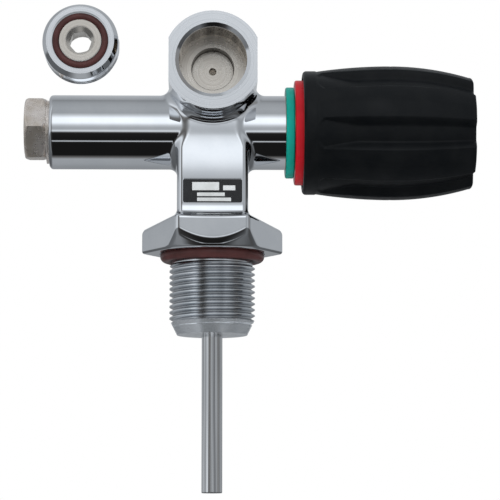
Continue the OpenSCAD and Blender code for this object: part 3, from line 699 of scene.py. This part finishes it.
def safety_field(x, y, z):
    """Burst-disc plug behind the neck: hexagonal head with a blind hole and six vents, and its shank."""
    up = z - SAFETY_Z
    r = np.hypot(x, up)
    out = y - NECK_HALF_D
    head = round_and(hexagon(x, up, SAFETY_HALF_AF), np.maximum(out - SAFETY_HEAD, -out), 0.2)
    head = round_and(head, (r - SAFETY_CONE_R + (out - SAFETY_HEAD) * 1.55) * 0.54, 0.2)
    shank = np.maximum(r - SAFETY_SHANK_R, np.maximum(out, -SAFETY_SHANK - out))
    whole = np.minimum(head, shank)
    whole = cut(whole, np.maximum(r - SAFETY_HOLE_R, out - SAFETY_HOLE_DEPTH))
    for k in range(3):
        a = math.radians(30 + 60 * k)
        across = x * math.sin(a) - up * math.cos(a)
        whole = cut(whole, np.hypot(across, out - VENT_Y) - VENT_R)
    return whole


def insert_field(x, y, z):
    """Yoke insert: collar, thread, waist and nose, less its grooves, its mouth and its key socket."""
    a, depth, up = x - INSERT_AT[0], y - INSERT_AT[1], z - INSERT_AT[2]
    r = np.hypot(a, up)
    collar = np.maximum(r - INSERT_R, depth - INSERT_COLLAR)
    face_cone = (r - INSERT_FACE_R - depth * 0.545) * 0.878
    collar = round_and(collar, np.maximum(-depth, face_cone), 0.25)
    screw = (r - screw_radius(depth, -np.arctan2(up, a), INSERT_ROOT, INSERT_R, 0.3)) * 0.5
    screw = np.maximum(screw, np.maximum(5.8 - depth, depth - INSERT_THREAD_END))
    waist = round_and(r - INSERT_WAIST_R, np.maximum(3.0 - depth, depth - INSERT_WAIST_END), 0.3)
    nose = np.maximum(r - INSERT_NOSE_R, np.maximum(NOSE_START - depth, depth - INSERT_LEN))
    nose = np.maximum(nose, (r - NOSE_TIP_R + depth - INSERT_LEN) * 0.707)
    nose = cut(nose, np.maximum(NOSE_GROOVE_R - r, np.abs(depth - NOSE_GROOVE_AT) - NOSE_GROOVE_HALF))
    whole = np.minimum(np.minimum(collar, screw), np.minimum(waist, nose))
    groove = np.maximum(np.abs(r - FACE_GROOVE_R) - FACE_GROOVE_HALF, depth - FACE_GROOVE_DEPTH)
    mouth = np.maximum(r - INSERT_MOUTH_R, depth - INSERT_MOUTH_DEPTH)
    mouth_cone = (r - INSERT_MOUTH_R + (depth - INSERT_MOUTH_DEPTH) * 0.6) * 0.857
    mouth_cone = np.maximum(mouth_cone, 1.4 - depth)
    key = math.radians(KEY_ANGLE)
    key_a = a * math.cos(key) + up * math.sin(key)
    key_b = -a * math.sin(key) + up * math.cos(key)
    socket = np.maximum(soft_hexagon(key_a, key_b, KEY_HALF_AF, KEY_CORNER), depth - KEY_DEPTH)
    back_bore = np.maximum(r - INSERT_BACK_BORE_R, INSERT_BACK_BORE - depth)
    return cut(whole, groove, mouth, mouth_cone, socket, back_bore)


def nut_field(x, y, z):
    """Nut that holds the knob on its spindle, coned at both ends."""
    up = z - BAR_Z
    r = np.hypot(y, up)
    along = x - NUT_X
    off_middle = np.abs(along - NUT_HALF_H)
    head = np.maximum(hexagon(y, up, NUT_HALF_AF), off_middle - NUT_HALF_H)
    head = np.maximum(head, (r - NUT_HALF_AF - (NUT_HALF_H - off_middle) * 1.73) * 0.5)
    return cut(head, r - NUT_BORE_R)


def knob_radius(along, angle, r):
    """Six flat-bottomed flutes pressed into the barrel, and a faint crest along each lobe."""
    lobe = math.pi / 3
    off = np.degrees(np.abs(np.mod(angle - math.radians(FLUTE_AT) + lobe / 2, lobe) - lobe / 2))
    deep = np.clip((along - 32.0) / 12.0, 0, 1) ** 0.8
    width = FLUTE_HALF * np.sqrt(np.clip((along - FLUTE_START) / 2.2, 0, 1))
    floor_half = np.maximum(width - FLUTE_WALL * deep, 0)
    wall = np.clip((width - off) / np.maximum(width - floor_half, 0.8), 0, 1)
    wall = 0.5 * wall + 0.5 * ease(wall, 0, 1)
    depth = FLUTE_DEPTH * deep
    crest = 0.4 * np.clip((along - 33.5) / 8.0, 0, 1) * np.clip(30 - off, 0, 16) / 16
    outside = np.clip((r - 15.4) / 0.6, 0, 1)
    return r - (depth * wall + crest) * outside


def barrel_radius(length, drop):
    """Radius of the arc that falls by drop over length."""
    return (length ** 2 + drop ** 2) / (2 * drop)


def knob_profile():
    """Section of the grip: lip on the left, barrel of two arcs with a fine seam, hollow inside."""
    left_big = barrel_radius(GRIP_WIDEST - GRIP_LEFT - 4, GRIP_R - LIP_R + 0.2)
    right_big = barrel_radius(GRIP_RIGHT - 1.2 - GRIP_WIDEST, GRIP_R - GRIP_END_R)
    rows = []
    for x in np.arange(31.6, GRIP_EDGE, 0.45):
        big = left_big if x < GRIP_WIDEST else right_big
        r = GRIP_R - big + math.sqrt(big ** 2 - (x - GRIP_WIDEST) ** 2)
        r = max(r, LIP_R) if x < 32 else r
        seam = 0.06 * math.exp(-((x - GRIP_WIDEST) / 0.3) ** 2)
        rows.append((x, r - seam))
    lip = [(28.4, 17.52, 0), (28.4, 17.3, 0), (GRIP_LEFT, 17.3, 0.2), (GRIP_LEFT, LIP_R, 1.1),
           (31.2, LIP_R, 0)]
    end = [(GRIP_EDGE, GRIP_END_R, 0), (GRIP_RIGHT, 17.2, 1.0), (GRIP_RIGHT, 8.0, 0.4), (78.8, 8.0, 0),
           (78.8, 13.22, 0), (68.0, 15.22, 0), (GRIP_WIDEST, GRIP_INSIDE_R, 0), (34.2, GRIP_INSIDE_R, 0),
           (33.2, 17.52, 0)]
    return np.concatenate([rounded(lip, 6), np.array(rows), rounded(end, 6)])


def ring_profile(low, high, inner, outer, edge):
    return rounded([(low, inner, 0), (low, outer, edge), (high, outer, edge), (high, inner, 0)])


def red_profile():
    """Section of the red ring: a broad rim, and the narrower sleeve that runs inside the knob."""
    left, step, right, inner, outer, sleeve = 25.3, 28.6, 36.0, 11.55, 16.25, 13.5
    return rounded([(left, inner, 0), (left, outer, 0.6), (step, outer, 0.3), (step, sleeve, 0),
                    (right, sleeve, 0), (right, inner, 0)])


def tube_profile():
    """Section of the dip tube, a little thinner where it sits in the stem."""
    return rounded([(TUBE_TOP, TUBE_INSIDE_R, 0), (TUBE_END, TUBE_INSIDE_R, 0.15),
                    (TUBE_END, TUBE_R, 0.3), (-STEM_LEN, TUBE_R, 0),
                    (-STEM_LEN, TUBE_TOP_R, 0), (TUBE_TOP, TUBE_TOP_R, 0)])


def torus(name, centre, axis, ring_r, wire_r, material, body, slot, major=144, minor=28):
    """An O-ring about the y or z axis."""
    u = np.linspace(0, 2 * math.pi, major, endpoint=False)[:, None]
    v = np.linspace(0, 2 * math.pi, minor, endpoint=False)[None, :]
    r = ring_r + wire_r * np.cos(v)
    local = [r * np.cos(u), r * np.sin(u), wire_r * np.sin(v) + 0 * u]
    order = {"z": (0, 1, 2), "y": (1, 2, 0)}[axis]
    verts = np.stack([local[k] + centre[i] for i, k in enumerate(order)], axis=2).reshape(-1, 3)
    i, j = np.meshgrid(np.arange(major), np.arange(minor), indexing="ij")
    i2, j2 = (i + 1) % major, (j + 1) % minor
    quads = np.stack([i * minor + j, i2 * minor + j, i2 * minor + j2, i * minor + j2], axis=2)
    mesh = bpy.data.meshes.new(name)
    mesh.from_pydata((verts * MM).tolist(), [], quads.reshape(-1, 4).tolist())
    mesh.polygons.foreach_set("use_smooth", [True] * (major * minor))
    return add(name, mesh, material, body, slot)


# ---------- camera, light and floor ----------

def camera():
    """A long lens a little below the valve's middle, aimed up at it."""
    aim = (0.012, 0.0, 0.0)
    azimuth, elevation, distance = math.radians(-1.19), math.radians(-6.84), 0.789
    data = bpy.data.cameras.new("camera")
    data.lens = 184.4
    data.sensor_width = 36
    data.shift_x = -0.0024
    data.shift_y = 0.0088
    data.clip_start = 0.01
    cam = bpy.data.objects.new("camera", data)
    bpy.context.scene.collection.objects.link(cam)
    flat = math.cos(elevation)
    back = (math.sin(azimuth) * flat, -math.cos(azimuth) * flat, math.sin(elevation))
    cam.location = [aim[i] + distance * back[i] for i in range(3)]
    cam.rotation_euler = (math.pi / 2 - elevation, 0, azimuth)
    bpy.context.scene.camera = cam


def floor():
    """Large matt floor well below the valve. The plating doesn't mirror it."""
    mesh = bpy.data.meshes.new("floor")
    size, height = 4.0, -0.16
    corners = [(a * size, b * size, height) for a, b in ((-1, -1), (1, -1), (1, 1), (-1, 1))]
    mesh.from_pydata(corners, [], [(0, 1, 2, 3)])
    white, shaded = rgb(0.84, 0.84, 0.83), rgb(0.80, 0.80, 0.79)
    mesh.materials.append(surface("floor", white, shaded, 0.0, 0.7, 0.05, grain=4.0))
    obj = bpy.data.objects.new("floor", mesh)
    obj.visible_glossy = False
    bpy.context.scene.collection.objects.link(obj)


def grey(value):
    """Light panels are a little blue, dark gaps a little warm."""
    tint = 0.045 if value > 0.2 else -0.02
    return rgb(value * (1 - tint), value, value * (1 + tint))


# What the plating mirrors, by height angle in degrees: 0 is the horizon in front, 90 overhead, 180 behind
UPRIGHT = [
    (-180, .24), (-147, .26), (-121, .32), (-101, .33), (-93, .12), (-85, .008), (-43, .008),
    (-39, .012), (-36.6, .60), (-34, .012), (-30, .008), (-12, .012), (-9, .06), (-5, .75), (-2, .50),
    (1, .36), (7, .39), (13, .55), (19, .89), (23, 1.0), (36, 1.0), (40, .80), (46, .54), (53, .34),
    (72, .35), (90, .32), (100, .28), (108, .23), (117, .32), (134, .39), (170, .50), (180, .30)]
# The same round the horizon: 0 in front, 90 to the right
AROUND = [
    (-180, .30), (-148, .30), (-125, .34), (-112, .36), (-98, .38), (-80, .42), (-66, .52),
    (-56, .68), (-48, .68), (-42, .40), (-36, .16), (-28, .10), (-18, .13), (-8, .18), (-2, .25),
    (1, .70), (5, .50), (10, .32), (18, .30), (28, .30), (38, .42), (49, .38), (61, .24), (73, .20),
    (87, .22), (104, .30), (122, .36), (180, .30)]
MIRROR_GAIN = 1.15


def stops(table):
    """Stops of a colour ramp from angles in degrees and brightness."""
    return [((angle + 180) / 360, grey(value)) for angle, value in table]


def studio():
    """A soft white studio. Mirror-like surfaces see its panels and dark gaps, the rest its even light."""
    world = bpy.data.worlds.new("studio")
    bpy.context.scene.world = world
    world.use_nodes = True
    t = Tree(world.node_tree)
    way = t.node("ShaderNodeTexCoord").outputs["Generated"]
    xyz = t.node("ShaderNodeSeparateXYZ", {0: way})
    front = t.math("MULTIPLY", xyz.outputs[1], -1.0)
    height = t.math("ARCTAN2", xyz.outputs[2], front)
    side = t.math("ARCTAN2", xyz.outputs[0], front)
    turn_part = 1 / (2 * math.pi)
    upright = t.ramp(t.math("MULTIPLY_ADD", height, turn_part, add=0.5), stops(UPRIGHT))
    around = t.ramp(t.math("MULTIPLY_ADD", side, turn_part, add=0.5), stops(AROUND))
    low = t.span(t.smooth(xyz.outputs[2], -0.16, -0.04), 0.0, 1.0, 0.3, 1.0)
    around = t.mix(1.0, around, low, "MULTIPLY")
    wide = t.smooth(t.math("ABSOLUTE", xyz.outputs[0]), 0.10, 0.45)
    mirror = t.node("ShaderNodeBackground", {0: t.mix(wide, upright, around), 1: MIRROR_GAIN})
    soft_color = t.mix(t.smooth(xyz.outputs[2], -0.9, 0.9), grey(0.14), grey(1.45))
    soft = t.node("ShaderNodeBackground", {0: soft_color, 1: 1.0})
    white = t.node("ShaderNodeBackground", {0: rgb(1, 1, 1), 1: 1.0})
    path = t.node("ShaderNodeLightPath")
    light = t.node("ShaderNodeMixShader", {0: path.outputs["Is Glossy Ray"], 1: soft, 2: mirror})
    seen = t.node("ShaderNodeMixShader", {0: path.outputs["Is Camera Ray"], 1: light, 2: white})
    t.put(t.node("ShaderNodeOutputWorld").inputs[0], seen)


# ---------- build ----------

camera()
floor()
studio()
bpy.context.scene.view_settings.view_transform = "Standard"

# The bore plating's warm tone is its own; the strong light and dark streaks along the bore are painted
# reflection.
bore_plating = surface("bore plating", rgb(0.86, 0.78, 0.68), rgb(0.16, 0.13, 0.10), 1.0, 0.16, 0.06,
                       bump=0.05, bump_scale=900.0, grain=420.0, stretch=(1, 0.01, 1))
plating = chrome("chrome", 0.0, OUTLET_Z, BOSS_FRONT, warm_r=SOCKET_LINER_R + 0.1,
                 warm_from=SOCKET_DEPTH - 0.2, ring_r=BOSS_R + 0.1, ring_rough=0.22)
insert_plating = chrome("insert chrome", INSERT_AT[0], INSERT_AT[2], INSERT_AT[1], warm_r=6.15,
                        warm_from=-1.0, ring_r=10.1, ring_rough=0.16)
nickel = surface("satin nickel", rgb(0.86, 0.79, 0.74), rgb(0.66, 0.58, 0.50), 0.85, 0.30, 0.10,
                 bump=0.4, bump_scale=1500.0, grain=170.0)
screw_plating = thread_plating()
rubber = surface("black rubber", rgb(0.0035, 0.0045, 0.0055), rgb(0.006, 0.0068, 0.0075), 0.0, 0.40, 0.06,
                 bump=0.25, bump_scale=2600.0, gloss=0.15)
maroon = surface("maroon rubber", rgb(0.085, 0.028, 0.026), rgb(0.055, 0.018, 0.016), 0.0, 0.36, 0.08,
                 bump=0.2, gloss=0.3)
green = surface("green plastic", rgb(0.004, 0.34, 0.27), rgb(0.003, 0.29, 0.22), 0.0, 0.32, 0.06,
                bump=0.15, gloss=0.12)
red = surface("red plastic", rgb(0.56, 0.010, 0.020), rgb(0.48, 0.008, 0.015), 0.0, 0.32, 0.06,
              bump=0.15, gloss=0.12)
tube_steel = surface("bright tube", rgb(0.95, 0.96, 0.97), rgb(0.40, 0.40, 0.41), 1.0, 0.08, 0.04,
                     bump=0.1, bump_scale=900.0, grain=1400.0, stretch=(1, 1, 0.006))
label_black = surface("label black", rgb(0.010, 0.010, 0.011), rgb(0.016, 0.016, 0.017), 0.0, 0.28, 0.08,
                      bump=0.1)
white_paint = surface("white paint", rgb(0.75, 0.75, 0.74), rgb(0.62, 0.62, 0.60), 0.0, 0.45, 0.08,
                      bump=0.2)
black_plastic = surface("black plastic", rgb(0.014, 0.014, 0.015), rgb(0.022, 0.022, 0.023), 0.0, 0.38,
                        0.08, bump=0.3, bump_scale=1800.0)
brass = surface("raw brass", rgb(0.72, 0.52, 0.24), rgb(0.58, 0.40, 0.17), 1.0, 0.28, 0.08,
                bump=0.4, bump_scale=1400.0)
copper = surface("copper", rgb(0.70, 0.36, 0.22), rgb(0.55, 0.27, 0.16), 1.0, 0.30, 0.08, bump=0.3)
steel = surface("steel", rgb(0.58, 0.58, 0.59), rgb(0.44, 0.44, 0.45), 1.0, 0.24, 0.08,
                bump=0.4, bump_scale=1600.0)
black_seal = surface("black seal", rgb(0.010, 0.010, 0.010), rgb(0.016, 0.016, 0.016), 0.0, 0.42, 0.06,
                     bump=0.2)
white_plastic = surface("white plastic", rgb(0.78, 0.77, 0.73), rgb(0.70, 0.69, 0.64), 0.0, 0.40, 0.06,
                        bump=0.2)

valve = solid("valve_forging", body_field, (-50.75, -25.4, -0.4), (22.85, 19.5, 71.5), 0.45, plating,
              "valve", "chrome_brass")
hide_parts("valve_body")
solid("neck_thread_stem", stem_field, (-13.5, -13.5, -25.35), (13.5, 13.5, 1.5), 0.22, screw_plating,
      "valve", "chrome_brass")
solid("outlet_thread", liner_field, (-12.2, -23.6, 43.9), (12.2, -9.2, 68.3), 0.32, bore_plating,
      "valve", "chrome_brass")
plug = solid("side_plug_hex", plug_field, (-58.3, -11.2, 26.6), (-41.0, 11.2, 50.0), 0.36, nickel,
             "valve", "satin_nickel")
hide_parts("side_plug")
safety = solid("safety_plug_hex", safety_field, (-7.8, 5.6, 16.2), (7.8, 18.2, 31.8), 0.3, nickel,
               "valve", "satin_nickel")
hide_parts("safety_plug")
nut = solid("knob_nut_hex", nut_field, (NUT_X - 0.4, -6.2, 31.8), (NUT_X + 5.4, 6.2, 44.0), 0.2, steel,
            "knob", "steel")
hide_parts("knob_nut")
insert = solid("insert_body", insert_field, (-50.8, -43.2, 46.6), (-27.6, -25.2, 69.8), 0.3,
               insert_plating, "insert", "chrome_brass")
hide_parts("yoke_insert")
label = solid("label_face", label_field, (-9.5, -12.75, 13.9), (9.5, -11.9, 22.1), 0.15, label_black,
              "valve", "black_label")
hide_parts("label_plate")
bar_of_paint("label_stroke_a", -6.2, 2.0, 18.1, 20.6, white_paint)
bar_of_paint("label_stroke_b", 3.2, 6.9, 18.1, 19.6, white_paint)
bar_of_paint("label_stroke_c", -4.7, 3.7, 16.3, 17.4, white_paint)
bar_of_paint("label_stroke_d", -4.7, 5.6, 14.75, 15.85, white_paint)
grip = turn("knob_rubber", knob_profile(), rubber, "knob", "black_rubber", 360, knob_radius)
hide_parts("knob_grip")
green_profile = ring_profile(low=22.5, high=25.2, inner=11.5, outer=14.1, edge=0.5)
green_ring = turn("green_collar", green_profile, green, "valve", "green_plastic")
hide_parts("green_ring")
red_ring = turn("red_collar", red_profile(), red, "indicator", "red_plastic")
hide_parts("red_ring")
tube = turn("dip_tube_pipe", tube_profile(), tube_steel, "valve", "steel", 96, upright=True)
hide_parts("dip_tube")
neck_seal = torus("neck_seal", (0, 0, NECK_SEAL_Z), "z", NECK_SEAL_R, NECK_SEAL_WIRE, maroon,
                  "valve", "maroon_rubber")
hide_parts("neck_oring")
face_seal_at = (INSERT_AT[0], INSERT_AT[1] + FACE_SEAL_DEPTH, INSERT_AT[2])
face_seal = torus("face_seal", face_seal_at, "y", FACE_SEAL_R, FACE_SEAL_WIRE, maroon,
                  "insert", "maroon_rubber")
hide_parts("insert_face_oring")

finishes = {
    "side_plug_oring": maroon, "bonnet_oring": maroon, "insert_rear_oring": maroon, "burst_disc": copper,
    "burst_gasket": brass, "bonnet_nut": brass, "thrust_washer": white_plastic, "spindle": steel,
    "spindle_orings": black_seal, "knob_core": black_plastic, "knob_spring": steel, "knob_washer": steel,
    "seat_carrier": brass, "seat_disc": white_plastic}
for node, finish in finishes.items():
    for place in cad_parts[node].material_slots:
        place.material = finish
for piece in (insert, face_seal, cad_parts["insert_rear_oring"], green_ring, red_ring):
    piece.visible_glossy = False
